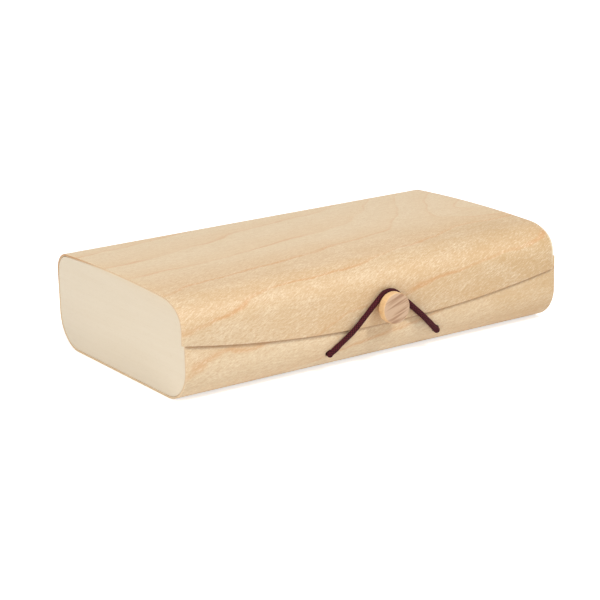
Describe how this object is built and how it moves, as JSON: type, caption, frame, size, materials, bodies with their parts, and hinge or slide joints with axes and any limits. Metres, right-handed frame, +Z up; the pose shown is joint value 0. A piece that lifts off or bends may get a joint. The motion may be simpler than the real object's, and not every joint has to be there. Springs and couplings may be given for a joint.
{
  "type": "brush box",
  "caption": "Low wooden brush box: a thin sheet bent round end panels forms walls, floor and a lid that flexes open at the back; an elastic loop over a turned button holds it shut.",
  "frame": {"origin": "middle of the flat face that the box stands on", "axes": "+X along the box to the right, -Y towards the front with the flap and the button, +Z up"},
  "size_m": [0.202, 0.1209, 0.0461],
  "materials": {
    "panel_wood": "sanded, unvarnished",
    "sheet_wood": "thin veneer with an oil finish",
    "button_wood": "turned, oiled",
    "screw_steel": "plain",
    "cord_elastic": "braided round elastic"
  },
  "bodies": {
    "box": {"wrap_sheet": "sheet_wood", "left_end_panel": "panel_wood", "right_end_panel": "panel_wood", "left_knot": "cord_elastic", "right_knot": "cord_elastic"},
    "hinge": {"hinge_strip": "sheet_wood"},
    "lid": {"lid_sheet": "sheet_wood", "button": "button_wood", "button_screw": "screw_steel"},
    "loop": {"elastic_cord": "cord_elastic"}
  },
  "joints": [
    {"name": "lid_fold_lower", "type": "hinge", "parent": "box", "child": "hinge", "pos_m": [0, 0.05511, 0.03842], "axis": [-1, 0, 0], "range_deg": [0, 50], "deforming": ["hinge_strip", "elastic_cord"]},
    {"name": "lid_fold_upper", "type": "hinge", "parent": "hinge", "child": "lid", "pos_m": [0, 0.05042, 0.0434], "axis": [-1, 0, 0], "range_deg": [0, 50], "deforming": ["hinge_strip", "elastic_cord"]},
    {"name": "loop_swing", "type": "hinge", "parent": "box", "child": "loop", "pos_m": [0.002, -0.05506, 0.00833], "axis": [1, 0, 0], "range_deg": [0, 95], "stiffness_Nm_per_rad": 0.005, "deforming": ["elastic_cord"]}
  ],
  "couplings": [
    {"joint": "lid_fold_upper", "follows": "lid_fold_lower", "ratio": 1}
  ]
}
